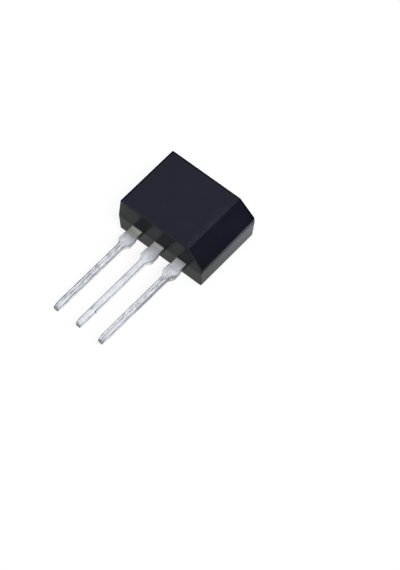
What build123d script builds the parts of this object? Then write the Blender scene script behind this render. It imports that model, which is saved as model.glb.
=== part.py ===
"""Triac in a flat moulded package without a tab, with three leads in a row.

The frame: X runs across the leads, +Y runs from the lead side of the body to its head,
and +Z points out of the front face, the one that has the long chamfer.
The origin is the centre of the lead row, at half the thickness of the leads,
where they leave the body. All lengths are in millimetres and all angles in degrees.
"""
from build123d import *
import os

# ---- Moulded body ----
body_width = 9.58           # across the leads, at the parting line
body_height = 7.33          # along the leads, at the parting line
front_depth = 2.25          # parting line to the front face
back_depth = 2.05           # parting line to the back face
mould_draft = 3.0           # slope of the side walls, in both halves of the mould
edge_chamfer = 1.64         # leg of the 45 degree chamfer along the gate side
edge_radius = 0.12          # round on every outer edge but the parting line
recess_diameter = 3.0       # round ejector recess in the back face
recess_depth = 0.12
recess_shift_x = 0.27       # from the middle of the back face, towards the gate side
recess_shift_y = 0.3        # from the middle of the back face, towards the head

# ---- Lead frame: leads, bond posts and chip pad, stamped from one flat strip ----
lead_pitch = 2.54
lead_thickness = 0.48       # gauge of the whole strip
lead_width = 0.55           # the slim part that goes into a board
lead_reach = 10.75          # body to lead tips
shoulder_width = 1.1        # the wide part next to the body
stub_width = 1.27           # across the stubs that the cut dam bar leaves on a lead's sides
stub_start = 0.85           # body to the stubs
stub_slope = 0.1            # length over which a lead widens to its stubs
shoulder_length = 1.75      # body to the outer end of the stubs
neck_length = 0.45          # the slope from the shoulder to the slim part
shoulder_corner = 0.12      # radius where a stub turns into the neck
neck_corner = 0.6           # radius where the neck runs into the slim part
tip_length = 0.5            # the tapered end of a lead
tip_width = 0.46
tip_coining = 0.05          # how far each flat of the lead closes in at the very end
post_cover = 0.6            # compound between the lead side of the body and a bond post
post_length = 1.0
post_width = 2.0
post_corner = 0.25
pad_gap = 0.5               # between the bond posts and the chip pad
pad_side_cover = 1.2        # compound beside the chip pad
pad_head_cover = 0.9        # compound beyond the chip pad
pad_corner = 0.5
lock_radius = 0.35          # half-round notches in the pad's sides that the compound fills

# ---- Silicon chip ----
die_size = 2.4              # side of the square chip
die_thickness = 0.26
moat_width = 0.16           # groove round the chip's rim, filled with glass
moat_depth = 0.08
solder_thickness = 0.06
solder_spread = 0.1         # how far the solder's foot runs out past the chip

# ---- Bond wires ----
power_wire_diameter = 0.3
power_foot_length = 0.6
power_loop_height = 0.75    # highest point of the wire's centre line above the chip
power_foot_x = -0.4         # foot on the chip, from the chip's middle
power_foot_y = 0.25
gate_wire_diameter = 0.15
gate_foot_length = 0.32
gate_loop_height = 0.55
gate_foot_inset = 0.5       # foot on the chip, from its two edges at the gate corner
wire_press = 0.15           # share of a wire's diameter that bonding presses flat
wire_crest = 0.35           # where a loop is highest, as a share of its span from the chip

# ---- Levels and places that follow ----
overshoot = 0.5             # how far cutting solids stand out past what they cut
strip_top = lead_thickness / 2
parting_z = strip_top       # the leads lie in the back half of the mould
front_z = parting_z + front_depth
back_z = parting_z - back_depth
post_start = post_cover
post_end = post_start + post_length
pad_start = post_end + pad_gap
pad_end = body_height - pad_head_cover
pad_width = body_width - 2 * pad_side_cover
die_y = (pad_start + pad_end) / 2
die_bottom = strip_top + solder_thickness
die_top = die_bottom + die_thickness
mesa_size = die_size - 2 * moat_width


def mirrored_outline(right_side):
    """A flat face from the points of its right side, listed from top to bottom."""
    left_side = [(-x, y) for x, y in reversed(right_side)]
    return Polygon(*right_side, *left_side, align=None)


# ---- Moulded body ----
def mould_half(depth, way):
    """One half of the body, drafted from the parting line; way is 1 for front, -1 for back."""
    outline = Pos(0, body_height / 2, parting_z) * Rectangle(body_width, body_height)
    return extrude(outline, amount=depth, dir=(0, 0, way), taper=mould_draft)


def chamfer_wedge():
    """The wedge that the long chamfer takes off the front edge on the gate side."""
    leg = edge_chamfer + 2 * overshoot
    corner_x = body_width / 2 + overshoot
    corner_z = front_z + overshoot
    section = Polygon((corner_x, corner_z), (corner_x - leg, corner_z), (corner_x, corner_z - leg), align=None)
    wedge = extrude(Plane.XZ * section, amount=body_height + 2 * overshoot, dir=(0, 1, 0))
    return Pos(0, -overshoot, 0) * wedge


def round_outer_edges(half):
    """Rounds every edge of a mould half that doesn't lie in the parting plane."""
    edges = [edge for edge in half.edges() if abs(edge.center().Z - parting_z) > edge_radius]
    return fillet(edges, edge_radius)


def ejector_recess():
    """The round recess that the ejector's insert leaves in the back face."""
    middle = Pos(recess_shift_x, body_height / 2 + recess_shift_y, back_z)
    return middle * Cylinder(recess_diameter / 2, 2 * recess_depth)


def make_body(inner_pieces):
    """The compound: two drafted halves, moulded round the pieces that they hold."""
    front = round_outer_edges(mould_half(front_depth, 1) - chamfer_wedge())
    back = round_outer_edges(mould_half(back_depth, -1)) - ejector_recess()
    body = front + back
    for piece in inner_pieces:
        body -= piece
    return body


# ---- Lead frame ----
def lead_plan():
    """Outline of a lead from inside the body down to its tip."""
    neck_end = -(shoulder_length + neck_length)
    tip_start = tip_length - lead_reach
    plan = mirrored_outline([
        (shoulder_width / 2, post_end - post_corner),
        (shoulder_width / 2, -stub_start),
        (stub_width / 2, -(stub_start + stub_slope)),
        (stub_width / 2, -shoulder_length),
        (lead_width / 2, neck_end),
        (lead_width / 2, tip_start),
        (tip_width / 2, -lead_reach),
    ])
    shoulders = [v for v in plan.vertices() if abs(v.Y + shoulder_length) < 1e-6]
    plan = fillet(shoulders, shoulder_corner)
    necks = [v for v in plan.vertices() if abs(v.Y - neck_end) < 1e-6]
    return fillet(necks, neck_corner)


def coining_wedge(side):
    """What coining takes off one flat of a lead tip; side is 1 for the front flat, -1 for the back."""
    flat = side * lead_thickness / 2
    tip_start = tip_length - lead_reach
    far_y = -lead_reach - overshoot
    far_drop = tip_coining * (tip_length + overshoot) / tip_length
    section = Polygon(
        (tip_start, flat),
        (far_y, flat - side * far_drop),
        (far_y, flat + side * overshoot),
        (tip_start, flat + side * overshoot),
        align=None,
    )
    return extrude(Plane.YZ * section, amount=lead_width, both=True)


def stamp(plan):
    """A piece of the strip with the given outline, its lead tip coined thinner."""
    blank = extrude(plan, amount=lead_thickness / 2, both=True)
    return blank - coining_wedge(1) - coining_wedge(-1)


def outer_lead(lead_x):
    """A lead that ends in a bond post for a wire."""
    post = Pos(0, (post_start + post_end) / 2) * RectangleRounded(post_width, post_length, post_corner)
    return Pos(lead_x, 0, 0) * stamp(lead_plan() + post)


def centre_lead():
    """The middle lead, in one piece with the pad that carries the chip."""
    pad_height = pad_end - pad_start
    pad_y = (pad_start + pad_end) / 2
    root = Pos(0, (post_start + pad_y) / 2) * Rectangle(shoulder_width, pad_y - post_start)
    pad = Pos(0, pad_y) * RectangleRounded(pad_width, pad_height, pad_corner)
    for side in (-1, 1):
        pad -= Pos(side * pad_width / 2, pad_y) * Circle(lock_radius)
    return stamp(lead_plan() + root + pad)


# ---- Chip ----
def slab(size, bottom, top):
    """A square slab centred on the chip between two levels."""
    return Pos(0, die_y, bottom) * extrude(Rectangle(size, size), amount=top - bottom)


def silicon_die():
    """The chip: a square slab whose upper rim is etched down to a moat."""
    return slab(die_size, die_bottom, die_top - moat_depth) + slab(mesa_size, die_top - moat_depth, die_top)


def moat_glass():
    """The glass that fills the moat and covers the chip's junctions."""
    return slab(die_size, die_top - moat_depth, die_top) - slab(mesa_size, die_top - moat_depth, die_top)


def die_solder():
    """The solder under the chip, with a sloping foot all round."""
    foot = Pos(0, die_y, strip_top) * Rectangle(die_size + 2 * solder_spread, die_size + 2 * solder_spread)
    seat = Pos(0, die_y, die_bottom) * Rectangle(die_size, die_size)
    return loft([foot, seat])


# ---- Bond wires ----
def bond_wire(diameter, foot_length, loop_height, chip_foot, post_foot):
    """A looped wire with a pressed foot on the chip and another on a bond post."""
    lift = diameter / 2 - wire_press * diameter
    start = Vector(*chip_foot, die_top + lift)
    end = Vector(*post_foot, strip_top + lift)
    plan_way = Vector(end.X - start.X, end.Y - start.Y, 0).normalized()
    half_foot = plan_way * (foot_length / 2)
    crest = start + (end - start) * wire_crest
    crest = Vector(crest.X, crest.Y, die_top + loop_height)
    route = FilletPolyline(
        start - half_foot,
        start + half_foot,
        crest,
        end - half_foot,
        end + half_foot,
        radius=[diameter, 1.5 * diameter, diameter],
    )
    section = Plane(origin=start - half_foot, z_dir=plan_way) * Circle(diameter / 2)
    return sweep(section, path=route)


def power_wire(lead_x):
    """Main terminal 1: the thick wire from the chip's face to its post."""
    chip_foot = (power_foot_x, die_y + power_foot_y)
    post_foot = (lead_x, (post_start + post_end) / 2)
    return bond_wire(power_wire_diameter, power_foot_length, power_loop_height, chip_foot, post_foot)


def gate_wire(lead_x):
    """Gate: the thin wire from the chip's corner to its post."""
    reach = die_size / 2 - gate_foot_inset
    chip_foot = (reach, die_y - reach)
    post_foot = (lead_x, (post_start + post_end) / 2)
    return bond_wire(gate_wire_diameter, gate_foot_length, gate_loop_height, chip_foot, post_foot)


def main():
    os.makedirs("parts", exist_ok=True)
    pieces = {
        "lead_terminal_1": outer_lead(-lead_pitch),
        "lead_terminal_2": centre_lead(),
        "lead_gate": outer_lead(lead_pitch),
        "die_solder": die_solder(),
        "silicon_die": silicon_die(),
        "moat_glass": moat_glass(),
    }
    pieces["wire_terminal_1"] = power_wire(-lead_pitch) - pieces["silicon_die"] - pieces["lead_terminal_1"]
    pieces["wire_gate"] = gate_wire(lead_pitch) - pieces["silicon_die"] - pieces["lead_gate"]
    pieces["moulded_body"] = make_body(list(pieces.values()))
    for name, shape in pieces.items():
        export_step(shape, f"parts/{name}.step")


main()
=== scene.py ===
"""The looks of a flat moulded triac: its compound, its tinned leads and the pieces sealed inside.

Lengths are in metres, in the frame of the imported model: X runs across the leads, +Y from the
leads to the head of the body, and +Z out of the chamfered front face.
"""
from math import cos, radians, sin

import bpy
from bpy.props import FloatProperty, FloatVectorProperty, PointerProperty
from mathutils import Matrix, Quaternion, Vector


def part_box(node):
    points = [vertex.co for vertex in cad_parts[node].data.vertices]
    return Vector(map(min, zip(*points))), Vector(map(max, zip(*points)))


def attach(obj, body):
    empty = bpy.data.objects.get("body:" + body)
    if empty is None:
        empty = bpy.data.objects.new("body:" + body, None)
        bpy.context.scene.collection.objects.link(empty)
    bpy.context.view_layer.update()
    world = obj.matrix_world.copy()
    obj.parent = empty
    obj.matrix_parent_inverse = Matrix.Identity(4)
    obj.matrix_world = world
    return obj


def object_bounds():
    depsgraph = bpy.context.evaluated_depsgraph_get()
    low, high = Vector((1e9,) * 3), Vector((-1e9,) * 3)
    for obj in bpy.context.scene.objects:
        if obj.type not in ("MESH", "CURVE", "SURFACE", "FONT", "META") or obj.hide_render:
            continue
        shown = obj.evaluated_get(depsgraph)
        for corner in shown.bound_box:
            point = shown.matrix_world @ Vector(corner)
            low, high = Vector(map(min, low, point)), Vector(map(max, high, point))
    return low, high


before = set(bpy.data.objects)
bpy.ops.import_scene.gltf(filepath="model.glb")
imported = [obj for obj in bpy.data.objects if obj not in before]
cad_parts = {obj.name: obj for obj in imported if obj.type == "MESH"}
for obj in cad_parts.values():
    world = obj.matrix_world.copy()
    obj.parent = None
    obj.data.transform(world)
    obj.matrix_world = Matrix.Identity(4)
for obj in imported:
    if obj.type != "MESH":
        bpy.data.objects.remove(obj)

bl_info = {
    "name": "Moulded Triac Looks",
    "version": (1, 0, 0),
    "blender": (4, 5, 0),
    "location": "View3D > Sidebar > Triac",
    "description": "Dresses a moulded triac: compound, tinned leads, chip and bond wires",
    "category": "Object",
}

CAD_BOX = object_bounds()
LEADS = ("lead_terminal_1", "lead_terminal_2", "lead_gate")
MM = 0.001

# Painted highlight colour for the compound's edges that catch the light
PAINTED_HIGHLIGHT_COLOUR = (0.022, 0.022, 0.030)

# The burr on the middle lead's right side: where it is, from the tip and above the lead's
# mid-thickness, and its size
BURR_FROM_TIP = 1.95 * MM
BURR_RISE = 0.09 * MM
BURR_FOOT_RADIUS = 0.09 * MM
BURR_POINT_RADIUS = 0.03 * MM
BURR_LENGTH = 0.36 * MM

# How the tin coats are modelled
SAME_PLACE = 0.0001 * MM
SMOOTH_ANGLE = radians(45)
LUMPS_ON_SHOULDER = 0.35
LUMPS_MID_LEVEL = 0.42
LUMP_SIZES = (
    # Size, share of the lumps' height, and stretch along the lead
    (0.45 * MM, 1.0, 1.5),
    (0.11 * MM, 0.9, 8.0),
)

# The floor, and the room round it
FLOOR_SIZE = 4.0
FLOOR_DROP = 0.01 * MM
FLOOR_TINT = (0.98, 1.0, 0.95)
WINDOW_TINT = (0.94, 1.0, 1.18)
WINDOW_GAIN = 1.62
DIM_WALL = (0.16, 0.165, 0.172)
LIT_WALL = (0.85, 0.86, 0.87)
PANEL_COLOUR = (0.95, 0.97, 1.02)

# The broad lamp: where it hangs, counted as the camera's place is, and how wide it looks
KEY_AZIMUTH = radians(76)
KEY_ELEVATION = radians(56)
KEY_WIDTH = radians(30)

# The sensor that the focal length goes with, in millimetres
SENSOR_WIDTH = 36


# ---- Settings that a user would change ----
class CompoundSettings(bpy.types.PropertyGroup):
    """The black moulded body."""
    # The blue in this colour is a painted reflection of the bluish light from above; it is put on the flat
    # faces only.
    colour: FloatVectorProperty(
        name="Colour", description="Black of the compound, with a little blue in it",
        subtype="COLOR", size=3, min=0, max=1, default=(0.0064, 0.0062, 0.0168))
    # This neutral black is the compound's own colour, which the walls show.
    side_colour: FloatVectorProperty(
        name="Side colour", description="Neutral black of the sides, which the mould leaves bare of its film",
        subtype="COLOR", size=3, min=0, max=1, default=(0.007, 0.0074, 0.0095))
    # A lighter tone for the walls towards the front face, doubled at the left end.
    upper_wall_colour: FloatVectorProperty(
        name="Haze colour", description="Colour of the sides near the front face, which handling has dulled",
        subtype="COLOR", size=3, min=0, max=1, default=(0.0135, 0.0150, 0.0190))
    gloss: FloatProperty(
        name="Gloss", description="How strongly the compound mirrors light that falls straight on it",
        subtype="FACTOR", min=0, max=1, default=0.18)
    wall_gloss: FloatProperty(
        name="Wall gloss", description="Gloss of the upright walls, where the mould is blasted",
        subtype="FACTOR", min=0, max=1, default=0.076)
    roughness: FloatProperty(
        name="Roughness", description="Roughness of the satin surface left by the mould",
        subtype="FACTOR", min=0, max=1, default=0.20)
    grain: FloatProperty(
        name="Grain", description="Size of the spark-eroded grain of the mould",
        unit="LENGTH", min=0.00001, default=0.07 * MM)
    chamfer: FloatProperty(
        name="Chamfer", description="From the gate side to where the long chamfer meets the front face",
        unit="LENGTH", min=0, default=1.64 * MM)


class TinSettings(bpy.types.PropertyGroup):
    """The hot-dipped tin on the leads."""
    colour: FloatVectorProperty(
        name="Colour", description="Clean tin",
        subtype="COLOR", size=3, min=0, max=1, default=(0.93, 0.942, 0.968))
    # The stain colour is also the colour in which the painted shade on the leads is drawn.
    stain_and_shade_colour: FloatVectorProperty(
        name="Stain", description="Dull patches and drag marks in the tin",
        subtype="COLOR", size=3, min=0, max=1, default=(0.26, 0.264, 0.276))
    coat: FloatProperty(
        name="Coat", description="Thickness of the tin on the flats of a lead",
        unit="LENGTH", min=0.000005, default=0.02 * MM)
    side_coat: FloatProperty(
        name="Side coat", description="Thickness of the tin on the sheared sides of the slim part",
        unit="LENGTH", min=0.000005, default=0.04 * MM)
    edge: FloatProperty(
        name="Edge", description="Radius to which the molten tin rounds the long edges",
        unit="LENGTH", min=0.00001, default=0.06 * MM)
    lumps: FloatProperty(
        name="Lumps", description="Height of the lumps in the tin",
        unit="LENGTH", min=0, default=0.010 * MM)
    bare_tip: FloatProperty(
        name="Bare tip", description="Length of copper that the cut tip shows",
        unit="LENGTH", min=0, default=0.03 * MM)
    dull_band: FloatProperty(
        name="Dull band", description="Length next to the body that the dip doesn't brighten",
        unit="LENGTH", min=0, default=1.0 * MM)
    score_y: FloatProperty(
        name="Score", description="From the body to the line that a tool has left across the middle lead",
        unit="LENGTH", min=0, default=8.8 * MM)
    voxel: FloatProperty(
        name="Voxel", description="Cell size of the coat's mesh",
        unit="LENGTH", min=0.00001, default=0.024 * MM)


class LeadSettings(bpy.types.PropertyGroup):
    """The form of a lead outside the body."""
    shoulder_width: FloatProperty(
        name="Shoulder width", description="Width of the wide part next to the body",
        unit="LENGTH", min=0.0001, default=1.1 * MM)
    stub_width: FloatProperty(
        name="Stub width", description="Width across the stubs of the cut dam bar",
        unit="LENGTH", min=0.0001, default=1.27 * MM)
    stub_start: FloatProperty(
        name="Stub start", description="From the body to the stubs",
        unit="LENGTH", min=0.0001, default=0.85 * MM)
    stub_slope: FloatProperty(
        name="Stub slope", description="Length over which a lead widens to its stubs",
        unit="LENGTH", min=0.0001, default=0.1 * MM)
    shoulder_length: FloatProperty(
        name="Shoulder length", description="From the body to the outer end of the stubs",
        unit="LENGTH", min=0.0001, default=1.75 * MM)
    neck_length: FloatProperty(
        name="Neck length", description="Length of the slope from the shoulder to the slim part",
        unit="LENGTH", min=0.0001, default=0.45 * MM)
    slim_width: FloatProperty(
        name="Slim width", description="Width of the part that goes into a board",
        unit="LENGTH", min=0.0001, default=0.55 * MM)
    tip_length: FloatProperty(
        name="Tip length", description="Length of the tapered tip",
        unit="LENGTH", min=0.0001, default=0.5 * MM)
    tip_width: FloatProperty(
        name="Tip width", description="Width of a lead at its very end",
        unit="LENGTH", min=0.0001, default=0.46 * MM)
    tip_coining: FloatProperty(
        name="Tip coining", description="How far each flat closes in at the very end",
        unit="LENGTH", min=0, default=0.05 * MM)
    shoulder_corner: FloatProperty(
        name="Shoulder corner", description="Radius where the shoulder turns into the neck",
        unit="LENGTH", min=0, default=0.12 * MM)
    neck_corner: FloatProperty(
        name="Neck corner", description="Radius where the neck runs into the slim part",
        unit="LENGTH", min=0, default=0.6 * MM)


class StageSettings(bpy.types.PropertyGroup):
    """Floor, light and camera."""
    floor_colour: FloatVectorProperty(
        name="Floor", description="Colour of the floor in the light of the room",
        subtype="COLOR", size=3, min=0, max=1, default=(0.20, 0.20, 0.20))
    floor_glow: FloatProperty(
        name="Floor glow", description="What the floor adds for the camera, to look white",
        subtype="FACTOR", min=0, max=1, default=0.845)
    mirrored_glow: FloatProperty(
        name="Mirrored glow", description="What the floor adds in mirrors and through glass",
        subtype="FACTOR", min=0, max=1, default=0.85)
    panel_azimuth: FloatProperty(
        name="Panel azimuth", description="Where the ceiling panel hangs, counted as the camera's place is",
        subtype="ANGLE", default=radians(218.6))
    panel_elevation: FloatProperty(
        name="Panel elevation", description="How high the panel hangs",
        subtype="ANGLE", default=radians(57.8))
    lens: FloatProperty(
        name="Lens", description="Focal length of the camera in millimetres",
        min=1, default=175.7)
    azimuth: FloatProperty(
        name="Azimuth", description="Where the camera stands, counted from in front of the lead tips",
        subtype="ANGLE", default=radians(38.59))
    elevation: FloatProperty(
        name="Elevation", description="How steeply the camera looks down",
        subtype="ANGLE", default=radians(57.76))
    roll: FloatProperty(
        name="Roll", description="Tilt of the picture",
        subtype="ANGLE", default=radians(1.97))
    distance: FloatProperty(
        name="Distance", description="From the camera to the point that it looks at",
        unit="LENGTH", min=0.01, default=240.88 * MM)
    framing: FloatVectorProperty(
        name="Framing", description="From the middle of the part to the point that the camera looks at",
        subtype="XYZ", unit="LENGTH", size=3, default=(5.402 * MM, 0.795 * MM, 0))
    key_strength: FloatProperty(
        name="Key light", description="Strength of the broad lamp",
        min=0, default=1.7)


# ---- Small helpers for shader nodes ----
class Board:
    """A node tree with short ways to add the nodes that the finishes use."""

    def __init__(self, owner):
        owner.use_nodes = True
        self.tree = owner.node_tree
        self.tree.nodes.clear()

    def add(self, kind, inputs=None, **settings):
        node = self.tree.nodes.new(kind)
        for key, value in settings.items():
            setattr(node, key, value)
        for key, value in (inputs or {}).items():
            self.feed(node.inputs[key], value)
        return node

    def feed(self, socket, value):
        """Links an output socket to an input, or sets the input's own value."""
        if isinstance(value, bpy.types.NodeSocket):
            self.tree.links.new(value, socket)
        else:
            socket.default_value = value

    def place(self, stretch=(1, 1, 1)):
        """Object coordinates, squeezed along the axes where a pattern is drawn out."""
        where = self.add("ShaderNodeTexCoord").outputs["Object"]
        return self.add("ShaderNodeMapping", {"Vector": where, "Scale": stretch}).outputs["Vector"]

    def noise(self, vector, size, detail=4.0, roughness=0.55):
        """Noise whose features are about size metres across."""
        inputs = {"Vector": vector, "Scale": 1 / size, "Detail": detail, "Roughness": roughness}
        return self.add("ShaderNodeTexNoise", inputs).outputs["Fac"]

    def cells(self, vector, size):
        """Crystal-like cells about size metres across."""
        return self.add("ShaderNodeTexVoronoi", {"Vector": vector, "Scale": 1 / size}).outputs["Distance"]

    def span(self, value, low, high, to_low=0.0, to_high=1.0):
        """value from low to high, carried smoothly to the range from to_low to to_high."""
        inputs = {"Value": value, 1: low, 2: high, 3: to_low, 4: to_high}
        return self.add("ShaderNodeMapRange", inputs, interpolation_type="SMOOTHSTEP").outputs["Result"]

    def math(self, operation, a, b=0.0):
        return self.add("ShaderNodeMath", {0: a, 1: b}, operation=operation).outputs["Value"]

    def product(self, first, *others):
        """All of the masks and shares, multiplied."""
        for other in others:
            first = self.math("MULTIPLY", first, other)
        return first

    def inverse(self, mask):
        """1 where the mask is 0, and 0 where it is 1."""
        return self.math("SUBTRACT", 1.0, mask)

    def line(self, offset, core, edge):
        """1 within core of the place where the offset is 0, fading to 0 at edge."""
        return self.span(self.math("ABSOLUTE", offset), core, edge, 1.0, 0.0)

    def waver(self, noise, reach):
        """A shift of up to half the reach to either side, from a noise."""
        return self.math("MULTIPLY", self.math("SUBTRACT", noise, 0.5), reach)

    def blend(self, factor, a, b, blend_type="MIX"):
        """A colour between a and b."""
        inputs = {"Factor": factor, "A": rgba(a), "B": rgba(b)}
        return self.add("ShaderNodeMix", inputs, data_type="RGBA", blend_type=blend_type).outputs["Result"]

    def bump(self, height, distance, strength=1.0, normal=None):
        node = self.add("ShaderNodeBump", {"Height": height, "Distance": distance, "Strength": strength})
        if normal is not None:
            self.feed(node.inputs["Normal"], normal)
        return node.outputs["Normal"]

    def surface(self, **inputs):
        """A Principled surface wired to the output; an underscore stands for a space in a socket's name."""
        shader = self.add("ShaderNodeBsdfPrincipled")
        for key, value in inputs.items():
            self.feed(shader.inputs[key.replace("_", " ")], value)
        self.add("ShaderNodeOutputMaterial", {"Surface": shader.outputs["BSDF"]})


def rgba(colour):
    """A colour with its alpha, or the socket that it is."""
    if isinstance(colour, bpy.types.NodeSocket):
        return colour
    return (*tuple(colour)[:3], 1.0)


def scaled(board, colour, share):
    """A colour socket times a share."""
    return board.blend(1.0, colour, (share, share, share), "MULTIPLY")


def part_of(board, vector, axis):
    return board.add("ShaderNodeSeparateXYZ", {"Vector": vector}).outputs[axis]


def faces(board, axis):
    """How far the surface faces along an axis of the part, from -1 to 1."""
    return part_of(board, board.add("ShaderNodeTexCoord").outputs["Normal"], axis)


def faces_either(board, axis):
    """How far the surface faces along an axis of the part, whichever way."""
    return board.math("ABSOLUTE", faces(board, axis))


# ---- Finish of the compound ----
def compound_finish(settings):
    """Satin black epoxy: fine mould grain, faint flow clouds and uneven gloss, with painted light: a bluish
    reflection on the flat faces, highlights along some edges and shade on others.
    """
    material = bpy.data.materials.new("black_compound")
    board = Board(material)
    where = board.place()
    clouds = board.noise(where, 1.6 * MM, detail=3)
    grain = board.noise(where, settings.grain, detail=6, roughness=0.65)
    swirl = board.noise(board.place((1, 0.35, 1)), 0.45 * MM, detail=5)
    fleck = board.span(board.noise(where, 0.16 * MM, detail=8, roughness=0.7), 0.66, 0.78)
    edges = painted_dark_edges(board, where)
    flat = bare_compound(board, settings, where)
    colour = board.blend(board.span(clouds, 0.3, 0.7), flat, scaled(board, flat, 1.3))
    colour = board.blend(fleck, colour, scaled(board, colour, 1.8))
    # Painted highlights: lighter colour along the chamfer and on the rounded edge at the lead side, where
    # these edges catch the light.
    colour = board.blend(painted_edge_highlights(board, where, clouds, settings.chamfer), colour, PAINTED_HIGHLIGHT_COLOUR)
    # Painted shade: the edges at the head and on the left are darkened, and lose their gloss below, for the
    # dark outline along them.
    colour = board.blend(edges, colour, scaled(board, colour, 0.3))
    roughness = board.span(swirl, 0.25, 0.75, settings.roughness - 0.04, settings.roughness + 0.06)
    clean = board.span(faces_either(board, "Z"), 0.2, 0.5, settings.wall_gloss, settings.gloss)
    gloss = board.product(clean, rubbed_corner(board), dull_strip(board, where), board.inverse(edges))
    relief = board.bump(clouds, 0.004 * MM, 0.6)
    relief = board.bump(grain, 0.003 * MM, 0.5, relief)
    board.surface(Base_Color=colour, Roughness=roughness, Specular_IOR_Level=gloss, Normal=relief)
    return material


def bare_compound(board, settings, where):
    """The compound's colour: a neutral black on the walls, lighter towards the front face and lighter still
    at the left end; the bluish colour on the flat faces is a painted reflection of the light from above.
    """
    toward_front = board.span(part_of(board, where, "Z"), 0.2 * MM, 1.5 * MM)
    left_end = board.span(part_of(board, where, "X"), -3.9 * MM, -4.6 * MM, 0.0, 0.8)
    walls = board.blend(toward_front, settings.side_colour, settings.upper_wall_colour)
    walls = board.blend(board.product(toward_front, left_end), walls, scaled(board, walls, 2.0))
    # Painted reflection: the flat faces take the bluish colour, standing in for the bluish light that they
    # mirror from above.
    flat = board.blend(board.span(faces_either(board, "Z"), 0.25, 0.95), walls, settings.colour)
    # Painted shade: towards the lead side, the lower half of the chamfer loses the bluish reflection and
    # takes the neutral black.
    return board.blend(shaded_low_chamfer(board, where), flat, settings.side_colour)


def rubbed_corner(board):
    """More gloss on the upright corner between the lead side and the gate side."""
    to_gate = board.span(faces(board, "X"), 0.12, 0.45)
    to_leads = board.span(faces(board, "Y"), -0.12, -0.45)
    return board.span(board.product(to_gate, to_leads), 0.0, 1.0, 1.0, 2.0)


def shaded_low_chamfer(board, where):
    """1 towards the lead side of the chamfer's lower half, which is darker: painted shade that takes the
    bluish painted reflection away there.
    """
    tilt = faces_either(board, "X")
    low = board.span(part_of(board, where, "Z"), 2.2 * MM, 1.2 * MM)
    near = board.span(part_of(board, where, "Y"), 3.4 * MM, 0.4 * MM, 0.0, 0.8)
    return board.product(board.span(tilt, 0.5, 0.65), board.span(tilt, 0.95, 0.8), low, near)


def dull_strip(board, where):
    """Less gloss on the gate side's uppermost strip, below the chamfer."""
    gate_side = board.span(faces(board, "X"), 0.6, 0.9)
    rise = board.product(part_of(board, where, "Y"), 0.018)
    height = board.math("SUBTRACT", part_of(board, where, "Z"), rise)
    strip = board.product(gate_side, board.span(height, 0.50 * MM, 0.62 * MM))
    return board.span(strip, 0.0, 1.0, 1.0, 0.05)


def painted_dark_edges(board, where):
    """1 on the edges at the head and on the left, which get a darker colour and no gloss: painted shade for
    the dark outline along them.
    """
    low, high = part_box("moulded_body")
    raised = board.span(faces(board, "Z"), 0.15, 0.5)
    darkened = 0.0
    for axis, way, end in (("X", -1.0, low.x), ("Y", 1.0, high.y)):
        facing = board.product(faces(board, axis), way)
        rim = board.span(part_of(board, where, axis), end - way * 0.36 * MM, end - way * 0.24 * MM)
        near = board.math("MAXIMUM", board.span(facing, 0.12, 0.25), board.product(rim, raised))
        edge = board.product(near, board.span(facing, 0.90, 0.97, 1.0, 0.0))
        darkened = board.math("MAXIMUM", darkened, edge)
    return darkened


def painted_edge_highlights(board, where, clouds, chamfer):
    """Painted highlights on the front face: a lighter band along the chamfer, and a lighter rounded edge at
    the lead side.
    """
    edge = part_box("moulded_body")[1].x - chamfer
    x, y = part_of(board, where, "X"), part_of(board, where, "Y")
    upward = faces(board, "Z")
    beside_chamfer = board.product(
        board.span(x, edge - 0.9 * MM, edge - 0.15 * MM),
        board.span(upward, 0.95, 0.99),
        board.span(clouds, 0.35, 0.65, 0.15, 0.6),
        board.span(y, 3.2 * MM, 4.2 * MM, 1.2, 0.5))
    rim = board.product(
        board.span(y, 0.36 * MM, 0.06 * MM, 0.0, 0.9),
        board.span(upward, 0.3, 0.6),
        board.span(x, -3.2 * MM, -4.4 * MM, 1.0, 1.6),
        board.span(faces_either(board, "X"), 0.5, 0.2))
    return board.math("MAXIMUM", beside_chamfer, rim)


# ---- Finish of the tin ----
def tin_finish(settings):
    """Hot-dipped tin: drag marks along the lead, stains, and a frosty band beside the body, with painted
    shade on the sides and edges and painted highlights on the flats.
    """
    material = bpy.data.materials.new("hot_dipped_tin")
    board = Board(material)
    where = board.place()
    drag = board.noise(board.place((1, 0.11, 1)), 0.11 * MM, detail=4, roughness=0.6)
    patches = board.noise(board.place((1, 0.4, 1)), 0.5 * MM, detail=4)
    side = board.span(faces_either(board, "X"), 0.45, 0.85)
    slim = board.span(part_of(board, where, "Y"), -2.4 * MM, -1.9 * MM, 1.0, 0.12)
    stain_and_light_share = stains_and_painted_light(board, settings, where, drag, patches, side, slim)
    colour = board.blend(stain_and_light_share, settings.colour, settings.stain_and_shade_colour)
    dull = board.product(dull_band(board, settings), board.inverse(side))
    colour = board.blend(board.product(dull, 0.8), colour, frosty_tin(board, where, patches))
    rough = board.math("MAXIMUM", board.span(patches, 0.3, 0.7, 0.24, 0.34), board.product(dull, 0.48))
    relief = board.bump(drag, 0.06 * MM, board.product(slim, 0.8))
    relief = board.bump(board.cells(where, 0.10 * MM), 0.008 * MM, 0.5, relief)
    metal = board.span(dull, 0, 1, 1.0, 0.7)
    board.surface(Base_Color=colour, Metallic=metal, Roughness=rough, Normal=relief)
    return material


def frosty_tin(board, where, patches):
    """The colour of the band beside the body: greyer to the left, and lighter at the root, which is painted
    light against the shade next to the body.
    """
    x, y = part_of(board, where, "X"), part_of(board, where, "Y")
    grey, white = (0.50, 0.50, 0.465), (0.96, 0.97, 0.98)
    frost = board.blend(board.span(x, -2.9 * MM, 2.0 * MM), grey, white)
    frost = board.blend(board.span(patches, 0.35, 0.65), frost, scaled(board, frost, 0.88))
    # Painted light: the root of each lead is made lighter, against the shade next to the body.
    root = board.product(board.span(y, -0.50 * MM, -0.22 * MM), board.span(x, 2.6 * MM, -2.0 * MM))
    return board.blend(root, frost, scaled(board, frost, 1.85))


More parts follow.
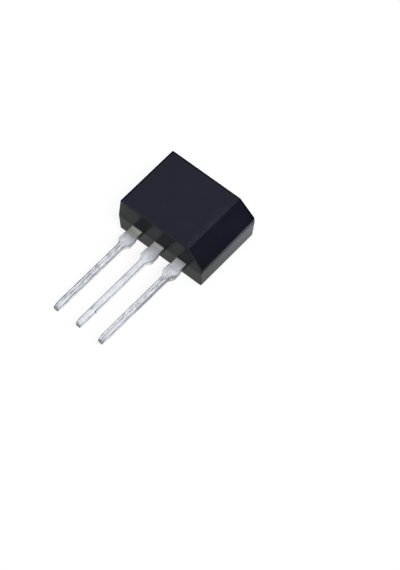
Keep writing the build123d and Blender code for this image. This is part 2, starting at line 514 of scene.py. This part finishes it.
def stains_and_painted_light(board, settings, where, drag, patches, side, slim):
    """How stained the tin is, from 0 to 1, where some rows paint shade or highlights instead of stains. Each
    row is a weight and the masks that it goes by.
    """
    x, y = part_of(board, where, "X"), part_of(board, where, "Y")
    across = from_middle(board, x)
    outer = board.span(board.math("ABSOLUTE", x), 0.7 * MM, 1.8 * MM)
    middle = board.inverse(outer)
    first = board.span(x, -0.7 * MM, -1.8 * MM)
    gate = board.span(x, 0.7 * MM, 1.8 * MM)
    facing = faces(board, "X")
    shaded_left_side = board.span(facing, -0.20, -0.60)
    lit_right_side = board.span(facing, 0.20, 0.60)
    shaded_left_band = board.span(across, -0.27 * MM, -0.16 * MM, 1.0, 0.0)
    left_half = board.span(across, -0.25 * MM, 0.10 * MM, 1.0, 0.0)
    specks = board.span(board.noise(where, 0.12 * MM, detail=2), 0.63, 0.69)
    score = board.line(board.math("ADD", y, settings.score_y), 0.02 * MM, 0.07 * MM)
    rows = (
        # All over
        (0.18, outer),
        (0.26, board.span(patches, 0.46, 0.70), board.span(outer, 0, 1, 0.8, 1)),
        (0.04, board.span(x, -1.6 * MM, -2.2 * MM)),
        # Painted shade: the sides of the leads are darker all over.
        (0.10, side),
        # The flats of the slim part
        (0.42, slim, board.span(drag, 0.50, 0.60), board.span(outer, 0, 1, 0.5, 1)),
        (0.60, slim, specks),
        # Painted shade: a dark line down the left edge of each lead's flats, more so on the first lead.
        (0.55, slim, shaded_left_band),
        (0.40, slim, shaded_left_band, first),
        (0.10, slim, left_half, middle),
        (0.26, slim, groove(board, across), outer, board.span(y, -10.1 * MM, -9.4 * MM)),
        # Painted highlights: broken bright runs down the flats.
        (-0.50, slim, painted_highlight_runs(board, across, outer)),
        (0.40, middle, score),
        # The sides of the slim part
        # Painted shade: the left sides are darker, more so on the first lead.
        (0.65, slim, shaded_left_side),
        (0.60, slim, shaded_left_side, first),
        # Painted light: the right sides of the slim part are lighter, where the light falls on them; the next
        # row darkens the gate's right side again along part of its length.
        (-0.34, slim, lit_right_side),
        (0.56, slim, lit_right_side, gate, board.span(y, -6.6 * MM, -5.8 * MM)),
        # Painted shade: a dark line along the upper half of each right side.
        (0.55, slim, shaded_upper_seam(board, where, facing)),
        # Shoulders and necks
        (0.10, board.span(y, -2.3 * MM, -1.2 * MM)),
        (0.24, middle, board.span(y, -2.45 * MM, -2.1 * MM)),
        (-0.12, first, board.span(y, -2.0 * MM, -1.5 * MM)),
        (0.45, slim, first, below_neck(board, across, y)),
        (0.85, torn_line(board, where, y)),
        (0.26, gate, torn_neck(board, where, across, y)),
        (0.34, side, cut_stubs(board, y)),
        # Painted shade: the sides are darker next to the body, where it shades them, and more so towards the
        # left.
        (0.66, side, board.span(y, -1.2 * MM, -0.3 * MM)),
        (side, board.span(y, -0.7 * MM, -0.4 * MM), board.span(x, 0.0, -2.0 * MM, 0.12, 0.55)),
        # Tips
        (0.36, tip_shade(board, y)),
        # Painted shade on the first lead's left edge, short of its tip.
        (0.36, first, shaded_left_of_tip(board, across, y)),
        # Painted highlight: a lighter patch on the first lead's right side.
        (-0.36, first, board.span(facing, 0.40, 0.80), board.span(y, -7.4 * MM, -8.1 * MM)),
        (-0.13, board.span(x, 1.6 * MM, 2.2 * MM), board.span(y, -9.5 * MM, -10.0 * MM)),
    )
    total = 0.0
    for row in rows:
        total = board.math("ADD", total, board.product(*row))
    return board.math("MINIMUM", board.math("MAXIMUM", total, 0.0), 1.0)


def from_middle(board, x):
    """How far a point lies to the right of the middle of its own lead."""
    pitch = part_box("lead_gate")[1].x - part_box("lead_terminal_1")[1].x
    inputs = {0: x, 1: pitch / 4, 2: -pitch / 4}
    return board.add("ShaderNodeMath", inputs, operation="WRAP").outputs["Value"]


def cut_stubs(board, y):
    """1 on the stretch of a shoulder where the dam bar was cut off."""
    return board.product(board.span(y, -1.1 * MM, -0.9 * MM, 1.0, 0.0), board.span(y, -2.0 * MM, -1.7 * MM))


def torn_line(board, where, y):
    """1 on a ragged line of torn tin, from the gate's stub aslant down the right of its neck."""
    low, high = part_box("lead_gate")
    way = Vector((0.65, -0.35, 0)).normalized()
    start = Vector(((low.x + high.x) / 2 + 0.67 * MM, -1.45 * MM, 0))
    along = board.add("ShaderNodeVectorMath", {0: where, 1: way}, operation="DOT_PRODUCT").outputs["Value"]
    gap = board.math("SUBTRACT", along, way.dot(start))
    ragged = board.waver(board.noise(where, 0.16 * MM, detail=3, roughness=0.7), 0.22 * MM)
    return board.product(
        board.line(board.math("ADD", gap, ragged), 0.04 * MM, 0.10 * MM),
        board.span(board.noise(where, 0.09 * MM, detail=2), 0.40, 0.50, 0.35, 1.0),
        board.span(y, -2.5 * MM, -2.2 * MM),
        board.span(y, -1.35 * MM, -1.5 * MM))


def torn_neck(board, where, across, y):
    """1 on torn, pitted tin down the right of a neck."""
    return board.product(
        board.span(across, -0.05 * MM, 0.12 * MM),
        board.span(y, -4.6 * MM, -3.2 * MM),
        board.span(y, -1.7 * MM, -1.5 * MM, 1.0, 0.0),
        board.span(board.noise(where, 0.13 * MM, detail=3, roughness=0.7), 0.44, 0.56))


def below_neck(board, across, y):
    """1 down the left of a lead, from its neck to where it is slim."""
    left = board.span(across, -0.24 * MM, -0.10 * MM, 1.0, 0.2)
    return board.product(left, board.span(y, -4.6 * MM, -3.2 * MM))


def shaded_upper_seam(board, where, facing):
    """1 on the upper half of a lead's right side, which gets a dark line of painted shade."""
    high = board.span(part_of(board, where, "Z"), -0.06 * MM, 0.04 * MM)
    return board.product(board.span(facing, 0.50, 0.85), high)


def groove(board, across):
    """1 on a broken, wavering line down the middle of a lead."""
    noise = board.noise(board.place((1, 0.5, 1)), 0.5 * MM, detail=3)
    line = board.math("ADD", across, board.waver(noise, 0.16 * MM))
    return board.product(
        board.line(board.math("ADD", line, 0.02 * MM), 0.03 * MM, 0.10 * MM),
        board.span(noise, 0.35, 0.55))


def painted_highlight_runs(board, across, outer):
    """1 on broken painted highlights: one right of the middle, and one left of it on an outer lead."""
    broken = board.span(board.noise(board.place((0.6, 0.35, 0.6)), 0.2 * MM, detail=3), 0.44, 0.58)
    runs = 0.0
    for place, share in ((0.13 * MM, 1.0), (-0.18 * MM, outer)):
        run = board.line(board.math("SUBTRACT", across, place), 0.04 * MM, 0.10 * MM)
        runs = board.math("MAXIMUM", runs, board.product(run, share))
    return board.product(runs, broken)


def shaded_left_of_tip(board, across, y):
    """1 on the left edge of a lead, short of its tip, which gets painted shade."""
    return board.product(
        board.span(across, -0.24 * MM, -0.10 * MM, 1.0, 0.0),
        board.span(y, -9.1 * MM, -9.4 * MM),
        board.span(y, -10.4 * MM, -9.8 * MM))


def tip_shade(board, y):
    """1 on the last bit of a lead, where the cut has drawn the tin thin."""
    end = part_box("lead_gate")[0].y
    uneven = board.waver(board.noise(board.place(), 0.25 * MM, detail=3), 0.5 * MM)
    return board.span(board.math("ADD", y, uneven), end + 0.08 * MM, end + 0.34 * MM, 1.0, 0.0)


def dull_band(board, settings):
    """1 next to the body and 0 further out, with an uneven dip line between."""
    where = board.place()
    uneven = board.waver(board.noise(where, 0.3 * MM, detail=3), 0.4 * MM)
    line = board.math("ADD", part_of(board, where, "Y"), uneven)
    return board.span(line, -settings.dull_band - 0.10 * MM, -settings.dull_band + 0.08 * MM)


# ---- Finishes of the copper and of what the compound seals in ----
def copper_finish():
    """Copper strip as sheared: bright scratches across the cut, darkened by heat."""
    material = bpy.data.materials.new("lead_copper")
    board = Board(material)
    where = board.place()
    score = board.noise(board.place((1, 1, 0.15)), 0.03 * MM, detail=4)
    heat = board.noise(where, 0.25 * MM, detail=3)
    burnt, warm, bright = (0.14, 0.134, 0.122), (0.27, 0.263, 0.248), (0.60, 0.59, 0.575)
    colour = board.blend(board.span(heat, 0.35, 0.65), burnt, warm)
    colour = board.blend(board.span(score, 0.50, 0.62), colour, bright)
    colour = board.blend(torn_half(board, where), colour, scaled(board, colour, 0.42))
    rough = board.span(score, 0.3, 0.7, 0.35, 0.6)
    board.surface(Base_Color=colour, Metallic=1.0, Roughness=rough, Normal=board.bump(score, 0.004 * MM))
    return material


def torn_half(board, where):
    """1 on the lower right of the cut, where the strip tore instead of being sheared."""
    ragged = board.waver(board.noise(where, 0.2 * MM), 0.2 * MM)
    across = from_middle(board, part_of(board, where, "X"))
    lower = board.math("SUBTRACT", board.product(across, 0.5), part_of(board, where, "Z"))
    return board.span(board.math("ADD", lower, ragged), -0.02 * MM, 0.10 * MM)


def silicon_finish():
    """Silicon: dark sawn sides and a face under thin metal."""
    material = bpy.data.materials.new("sawn_silicon")
    board = Board(material)
    saw = board.noise(board.place((0.1, 0.1, 1)), 0.015 * MM, detail=3)
    film = board.noise(board.place(), 0.2 * MM, detail=4)
    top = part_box("silicon_die")[1].z
    face = board.span(part_of(board, board.place(), "Z"), top - 0.02 * MM, top - 0.01 * MM)
    bulk = board.blend(saw, (0.10, 0.11, 0.13), (0.20, 0.21, 0.24))
    metal = board.blend(film, (0.62, 0.62, 0.63), (0.78, 0.78, 0.79))
    board.surface(
        Base_Color=board.blend(face, bulk, metal), Metallic=face,
        Roughness=board.span(film, 0.3, 0.7, 0.28, 0.45), Normal=board.bump(saw, 0.002 * MM))
    return material


def glass_finish():
    """Fired glass: milky, with fine bubbles."""
    material = bpy.data.materials.new("fired_glass")
    board = Board(material)
    bubbles = board.cells(board.place(), 0.03 * MM)
    milk = board.noise(board.place(), 0.15 * MM, detail=3)
    colour = board.blend(milk, (0.62, 0.68, 0.58), (0.80, 0.84, 0.78))
    board.surface(
        Base_Color=colour, Roughness=board.span(bubbles, 0, 0.6, 0.12, 0.3),
        Normal=board.bump(bubbles, 0.003 * MM, 0.6), Subsurface_Weight=0.2, Subsurface_Scale=0.05 * MM)
    return material


def solder_finish():
    """Soft solder: grey, frosty and slightly dimpled."""
    material = bpy.data.materials.new("soft_solder")
    board = Board(material)
    frost = board.cells(board.place(), 0.05 * MM)
    cloud = board.noise(board.place(), 0.3 * MM, detail=4)
    colour = board.blend(cloud, (0.42, 0.42, 0.44), (0.60, 0.60, 0.62))
    board.surface(
        Base_Color=colour, Metallic=1.0, Roughness=board.span(frost, 0, 0.6, 0.35, 0.55),
        Normal=board.bump(frost, 0.004 * MM, 0.7))
    return material


def wire_finish():
    """Soft aluminium wire with fine draw lines."""
    material = bpy.data.materials.new("bond_wire_aluminium")
    board = Board(material)
    lines = board.noise(board.place((1, 0.08, 1)), 0.02 * MM, detail=3)
    toward_front = board.noise(board.place(), 0.2 * MM, detail=3)
    colour = board.blend(toward_front, (0.78, 0.78, 0.79), (0.90, 0.90, 0.91))
    board.surface(
        Base_Color=colour, Metallic=1.0, Roughness=board.span(lines, 0.3, 0.7, 0.22, 0.38),
        Normal=board.bump(lines, 0.001 * MM, 0.6))
    return material


def finish_node(node, material):
    """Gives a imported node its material."""
    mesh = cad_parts[node].data
    mesh.materials.clear()
    mesh.materials.append(material)


# ---- Small helpers for modelling ----
def start_alone(piece=None):
    """Leaves edit mode with nothing selected but the piece."""
    if bpy.context.object and bpy.context.object.mode != "OBJECT":
        bpy.ops.object.mode_set(mode="OBJECT")
    bpy.ops.object.select_all(action="DESELECT")
    if piece:
        piece.select_set(True)
        bpy.context.view_layer.objects.active = piece


def select_by(piece, kind, test):
    """In edit mode, selects only the faces or edges that pass the test."""
    bpy.ops.mesh.select_mode(type=kind)
    bpy.ops.mesh.select_all(action="DESELECT")
    bpy.ops.object.mode_set(mode="OBJECT")
    mesh = piece.data
    if kind == "FACE":
        for face in mesh.polygons:
            face.select = test(face)
    else:
        for edge in mesh.edges:
            ends = [mesh.vertices[index].co for index in edge.vertices]
            edge.select = test(*ends)
    bpy.ops.object.mode_set(mode="EDIT")


def apply_modifier(piece, kind, name, **settings):
    """Adds a modifier with its settings and applies it."""
    modifier = piece.modifiers.new(name, kind)
    for key, value in settings.items():
        setattr(modifier, key, value)
    start_alone(piece)
    bpy.ops.object.modifier_apply(modifier=name)


# ---- The tin coats ----
def lead_blank(name, lead_x, thickness, tip_y, form, coat, side_coat):
    """A block next to the body, drawn out along the stubs, the neck and the slim part to the tip."""
    width = form.shoulder_width + 2 * coat
    height = thickness + 2 * coat
    start_alone()
    bpy.ops.mesh.primitive_cube_add(size=1, location=(lead_x, -form.stub_start / 2, 0))
    blank = bpy.context.object
    blank.name = name
    blank.data.name = name
    blank.scale = (width, form.stub_start, height)
    bpy.ops.object.transform_apply(location=True, rotation=True, scale=True)
    bpy.ops.object.mode_set(mode="EDIT")
    slim = form.slim_width + 2 * side_coat
    stubs = form.stub_width + 2 * coat
    stations = (
        (-form.stub_start - form.stub_slope, stubs, height),
        (-form.shoulder_length, stubs, height),
        (-form.shoulder_length - form.neck_length, slim, height),
        (tip_y + form.tip_length, slim, height),
        (tip_y, form.tip_width + 2 * coat, height - 2 * form.tip_coining),
    )
    y = -form.stub_start
    for next_y, next_width, next_height in stations:
        select_by(blank, "FACE", lambda face: abs(face.center.y - y) < SAME_PLACE and face.normal.y < -0.9)
        bpy.ops.mesh.extrude_region_move(TRANSFORM_OT_translate={"value": (0, next_y - y, 0)})
        growth = (next_width / width, 1, next_height / height)
        bpy.ops.transform.resize(value=growth, center_override=(lead_x, next_y, 0))
        y, width, height = next_y, next_width, next_height
    return blank


def round_corner(blank, y, radius, tangent, segments):
    """Rounds the upright edges of a lead at y."""
    def is_upright(a, b):
        return max(abs(a.y - y), abs(b.y - y), abs(a.x - b.x)) < SAME_PLACE
    select_by(blank, "EDGE", is_upright)
    bpy.ops.mesh.bevel(offset=radius * tangent, segments=segments)


def round_long_edges(blank, radius):
    """Rounds the edges that run along the lead, as the surface of molten tin does."""
    def is_long(a, b):
        return abs(a.y - b.y) > SAME_PLACE and a.z * b.z > 0
    select_by(blank, "EDGE", is_long)
    bpy.ops.mesh.bevel(offset=radius, segments=4)


def tin_coat(name, node, form, tin, burr=False):
    """The tin on one lead: a lumpy sleeve from the body to just short of the cut tip."""
    low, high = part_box(node)
    lead_x = (low.x + high.x) / 2
    thickness = high.z - low.z
    tip_y = low.y + tin.bare_tip
    coat = lead_blank(name, lead_x, thickness, tip_y, form, tin.coat, tin.side_coat)
    slope = (form.stub_width - form.slim_width) / 2 / form.neck_length
    tangent = slope / (1 + (1 + slope * slope) ** 0.5)
    round_corner(coat, -form.shoulder_length, form.shoulder_corner, tangent, 3)
    round_corner(coat, -form.shoulder_length - form.neck_length, form.neck_corner, tangent, 5)
    round_long_edges(coat, tin.edge)
    bpy.ops.object.mode_set(mode="OBJECT")
    if burr:
        add_burr(coat, (lead_x + form.slim_width / 2, low.y + BURR_FROM_TIP, BURR_RISE))
    apply_modifier(coat, "REMESH", "even_cells", mode="VOXEL", voxel_size=tin.voxel)
    apply_modifier(coat, "SMOOTH", "soften", factor=0.5, iterations=2)
    roughen(coat, tin, form)
    hollow(coat, node)
    coat.data.materials.clear()
    start_alone(coat)
    bpy.ops.object.shade_smooth_by_angle(angle=SMOOTH_ANGLE)
    return coat


def add_burr(coat, location):
    """A small tooth of metal that a tool has pushed out of the side."""
    start_alone()
    bpy.ops.mesh.primitive_cone_add(
        vertices=10, radius1=BURR_FOOT_RADIUS, radius2=BURR_POINT_RADIUS, depth=BURR_LENGTH,
        location=location, rotation=(0, radians(90), 0))
    tooth = bpy.context.object
    tooth.select_set(True)
    coat.select_set(True)
    bpy.context.view_layer.objects.active = coat
    bpy.ops.object.join()


def roughen(coat, tin, form):
    """Lumps and runs in the tin, fainter on the shoulder."""
    group = coat.vertex_groups.new(name="slim")
    edge_y = -form.shoulder_length
    for vertex in coat.data.vertices:
        group.add([vertex.index], 1.0 if vertex.co.y < edge_y else LUMPS_ON_SHOULDER, "REPLACE")
    for size, share, stretch in LUMP_SIZES:
        runs = bpy.data.textures.new("tin_runs", "CLOUDS")
        runs.noise_scale = size
        runs.noise_depth = 2
        start_alone()
        bpy.ops.object.empty_add(location=(0, 0, 0))
        grid = bpy.context.object
        grid.scale = (1, stretch, 1)
        bpy.context.view_layer.update()
        apply_modifier(
            coat, "DISPLACE", "runs", texture=runs, texture_coords="OBJECT", texture_coords_object=grid,
            strength=tin.lumps * share, mid_level=LUMPS_MID_LEVEL, vertex_group="slim")
        bpy.data.objects.remove(grid)


def hollow(coat, node):
    """Takes the lead itself out of the coat, so that the tin is a sleeve around it."""
    core = bpy.data.objects.new("core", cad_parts[node].data.copy())
    bpy.context.scene.collection.objects.link(core)
    start_alone(core)
    bpy.ops.object.mode_set(mode="EDIT")
    bpy.ops.mesh.select_all(action="SELECT")
    bpy.ops.mesh.remove_doubles(threshold=SAME_PLACE)
    bpy.ops.object.mode_set(mode="OBJECT")
    apply_modifier(coat, "BOOLEAN", "hollow", operation="DIFFERENCE", object=core, solver="EXACT")
    bpy.data.objects.remove(core)


# ---- Operators ----
class TRIAC_OT_dress_body(bpy.types.Operator):
    """Finish the moulded body in satin black compound"""
    bl_idname = "triac.dress_body"
    bl_label = "Dress Body"
    bl_options = {"REGISTER", "UNDO"}

    def execute(self, context):
        finish_node("moulded_body", compound_finish(context.scene.triac_compound))
        return {"FINISHED"}


class TRIAC_OT_dress_leads(bpy.types.Operator):
    """Finish the copper strip of the three leads"""
    bl_idname = "triac.dress_leads"
    bl_label = "Dress Leads"
    bl_options = {"REGISTER", "UNDO"}

    def execute(self, context):
        copper = copper_finish()
        for node in LEADS:
            finish_node(node, copper)
        return {"FINISHED"}


class TRIAC_OT_tin_coats(bpy.types.Operator):
    """Model the hot-dipped tin on the three leads"""
    bl_idname = "triac.tin_coats"
    bl_label = "Tin Coats"
    bl_options = {"REGISTER", "UNDO"}

    def execute(self, context):
        tin = context.scene.triac_tin
        form = context.scene.triac_lead
        finish = tin_finish(tin)
        for node in LEADS:
            coat = tin_coat(node.replace("lead", "tin_coat"), node, form, tin, burr=node == "lead_terminal_2")
            coat.data.materials.append(finish)
            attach(coat, "root")
        return {"FINISHED"}


class TRIAC_OT_dress_inside(bpy.types.Operator):
    """Finish the chip, its glass and solder, and the bond wires"""
    bl_idname = "triac.dress_inside"
    bl_label = "Dress Inside"
    bl_options = {"REGISTER", "UNDO"}

    def execute(self, context):
        finish_node("silicon_die", silicon_finish())
        finish_node("moat_glass", glass_finish())
        finish_node("die_solder", solder_finish())
        wires = wire_finish()
        for node in ("wire_terminal_1", "wire_gate"):
            finish_node(node, wires)
        return {"FINISHED"}


class TRIAC_OT_stage(bpy.types.Operator):
    """Set up the pale floor, the soft light and the camera"""
    bl_idname = "triac.stage"
    bl_label = "Stage"
    bl_options = {"REGISTER", "UNDO"}

    def execute(self, context):
        settings = context.scene.triac_stage
        make_floor(settings)
        light_room(context.scene, settings)
        add_key_light(settings)
        place_camera(context.scene, settings)
        context.scene.view_settings.view_transform = "Standard"
        return {"FINISHED"}


def beside_head(board):
    """0 on most of the floor, 1 on the right of the part's head, where a window would light it."""
    where = board.place()
    right = board.span(part_of(board, where, "X"), 3 * MM, 6 * MM)
    return board.product(right, board.span(part_of(board, where, "Y"), 0.5 * MM, 8 * MM))


def glow_seen(board, settings, beyond):
    """The floor's glow: whole for the camera, less in mirrors, and none for the light of the room."""
    path = board.add("ShaderNodeLightPath").outputs
    mirrored = board.math("MAXIMUM", path["Is Glossy Ray"], path["Is Transmission Ray"])
    level = board.span(beyond, 0, 1, settings.mirrored_glow, WINDOW_GAIN * settings.mirrored_glow)
    direct = board.product(path["Is Camera Ray"], settings.floor_glow)
    return board.math("MAXIMUM", direct, board.product(mirrored, level))


def floor_finish(settings):
    """A matt floor that glows just enough to look white, and is clear to a camera below it."""
    material = bpy.data.materials.new("pale_floor")
    board = Board(material)
    seen = board.add("ShaderNodeLightPath").outputs["Is Camera Ray"]
    beyond = beside_head(board)
    tint = board.blend(beyond, FLOOR_TINT, WINDOW_TINT)
    tint = board.blend(board.inverse(seen), (1, 1, 1), tint)
    glow = board.add("ShaderNodeEmission", {"Color": tint, "Strength": glow_seen(board, settings, beyond)})
    matt = board.add("ShaderNodeBsdfDiffuse", {"Color": rgba(settings.floor_colour)})
    both = board.add("ShaderNodeAddShader", {0: matt.outputs["BSDF"], 1: glow.outputs["Emission"]})
    below = board.product(board.add("ShaderNodeNewGeometry").outputs["Backfacing"], seen)
    clear = board.add("ShaderNodeBsdfTransparent")
    mixed = board.add("ShaderNodeMixShader", {0: below, 1: both.outputs["Shader"], 2: clear.outputs["BSDF"]})
    board.add("ShaderNodeOutputMaterial", {"Surface": mixed.outputs["Shader"]})
    return material


def make_floor(settings):
    """A wide pale floor just under the part, which keeps the soft shadow."""
    start_alone()
    bpy.ops.mesh.primitive_plane_add(size=FLOOR_SIZE, location=(0, 0, CAD_BOX[0].z - FLOOR_DROP))
    floor = bpy.context.object
    floor.name = "floor"
    bpy.ops.object.transform_apply(location=True, rotation=True, scale=True)
    floor.data.materials.append(floor_finish(settings))


def light_room(scene, settings):
    """A dim room under one wide bright ceiling panel, and white where the camera sees it."""
    scene.world = bpy.data.worlds.new("pale_room")
    board = Board(scene.world)
    way = board.add("ShaderNodeTexCoord").outputs["Generated"]
    panel = looking_from(settings.panel_azimuth, settings.panel_elevation)
    towards = board.add("ShaderNodeVectorMath", {0: way, 1: panel}, operation="DOT_PRODUCT")
    glow = board.product(
        board.span(towards.outputs["Value"], 0.46, 0.84),
        board.span(part_of(board, way, "Y"), -0.35, 0.25),
        board.span(part_of(board, way, "Z"), 0.25, 0.65))
    facing_leads = board.span(part_of(board, way, "Y"), -0.45, -0.80)
    colour = board.blend(glow, board.blend(facing_leads, DIM_WALL, LIT_WALL), PANEL_COLOUR)
    room = board.add("ShaderNodeBackground", {"Color": colour, "Strength": 1.0})
    white = board.add("ShaderNodeBackground", {"Color": (1, 1, 1, 1), "Strength": 1.0})
    camera_ray = board.add("ShaderNodeLightPath").outputs["Is Camera Ray"]
    mixed = board.add("ShaderNodeMixShader", {0: camera_ray, 1: room.outputs[0], 2: white.outputs[0]})
    board.add("ShaderNodeOutputWorld", {"Surface": mixed.outputs["Shader"]})


def add_key_light(settings):
    """One broad lamp, high on the right behind the camera."""
    lamp = bpy.data.lights.new("key", "SUN")
    lamp.energy = settings.key_strength
    lamp.angle = KEY_WIDTH
    key = bpy.data.objects.new("key", lamp)
    bpy.context.scene.collection.objects.link(key)
    key.visible_glossy = False
    key.rotation_mode = "QUATERNION"
    key.rotation_quaternion = looking_from(KEY_AZIMUTH, KEY_ELEVATION).to_track_quat("Z", "Y")


def looking_from(azimuth, elevation):
    """The direction from the part to a place at that azimuth and elevation."""
    flat = cos(elevation)
    return Vector((sin(azimuth) * flat, -cos(azimuth) * flat, sin(elevation)))


def place_camera(scene, settings):
    """The camera, looking down on the front face from beyond the gate lead."""
    aim = (CAD_BOX[0] + CAD_BOX[1]) / 2 + Vector(settings.framing)
    back = looking_from(settings.azimuth, settings.elevation)
    data = bpy.data.cameras.new("camera")
    data.lens = settings.lens
    data.sensor_width = SENSOR_WIDTH
    data.clip_start = settings.distance / 100
    data.clip_end = settings.distance * 100
    camera = bpy.data.objects.new("camera", data)
    scene.collection.objects.link(camera)
    camera.location = aim + back * settings.distance
    camera.rotation_mode = "QUATERNION"
    camera.rotation_quaternion = (-back).to_track_quat("-Z", "Y") @ Quaternion((0, 0, 1), settings.roll)
    scene.camera = camera


# ---- The panel and the classes ----
class TRIAC_PT_looks(bpy.types.Panel):
    """The triac's pieces and their settings"""
    bl_label = "Triac"
    bl_idname = "TRIAC_PT_looks"
    bl_space_type = "VIEW_3D"
    bl_region_type = "UI"
    bl_category = "Triac"

    def draw(self, context):
        layout = self.layout
        for group, operators in PANEL_ROWS:
            box = layout.box()
            settings = getattr(context.scene, group)
            for name in settings.__annotations__:
                box.prop(settings, name)
            for operator in operators:
                box.operator(operator)


PANEL_ROWS = (
    ("triac_compound", ("triac.dress_body",)),
    ("triac_lead", ("triac.dress_leads",)),
    ("triac_tin", ("triac.tin_coats", "triac.dress_inside")),
    ("triac_stage", ("triac.stage",)),
)
SETTINGS = {
    "triac_compound": CompoundSettings,
    "triac_lead": LeadSettings,
    "triac_tin": TinSettings,
    "triac_stage": StageSettings,
}
CLASSES = (
    *SETTINGS.values(),
    TRIAC_OT_dress_body,
    TRIAC_OT_dress_leads,
    TRIAC_OT_tin_coats,
    TRIAC_OT_dress_inside,
    TRIAC_OT_stage,
    TRIAC_PT_looks,
)


def register():
    for cls in CLASSES:
        bpy.utils.register_class(cls)
    for name, group in SETTINGS.items():
        setattr(bpy.types.Scene, name, PointerProperty(type=group))


def unregister():
    for name in SETTINGS:
        delattr(bpy.types.Scene, name)
    for cls in reversed(CLASSES):
        bpy.utils.unregister_class(cls)


def main():
    register()
    bpy.ops.triac.dress_body()
    bpy.ops.triac.dress_leads()
    bpy.ops.triac.tin_coats()
    bpy.ops.triac.dress_inside()
    bpy.ops.triac.stage()


if __name__ == "__main__":
    main()
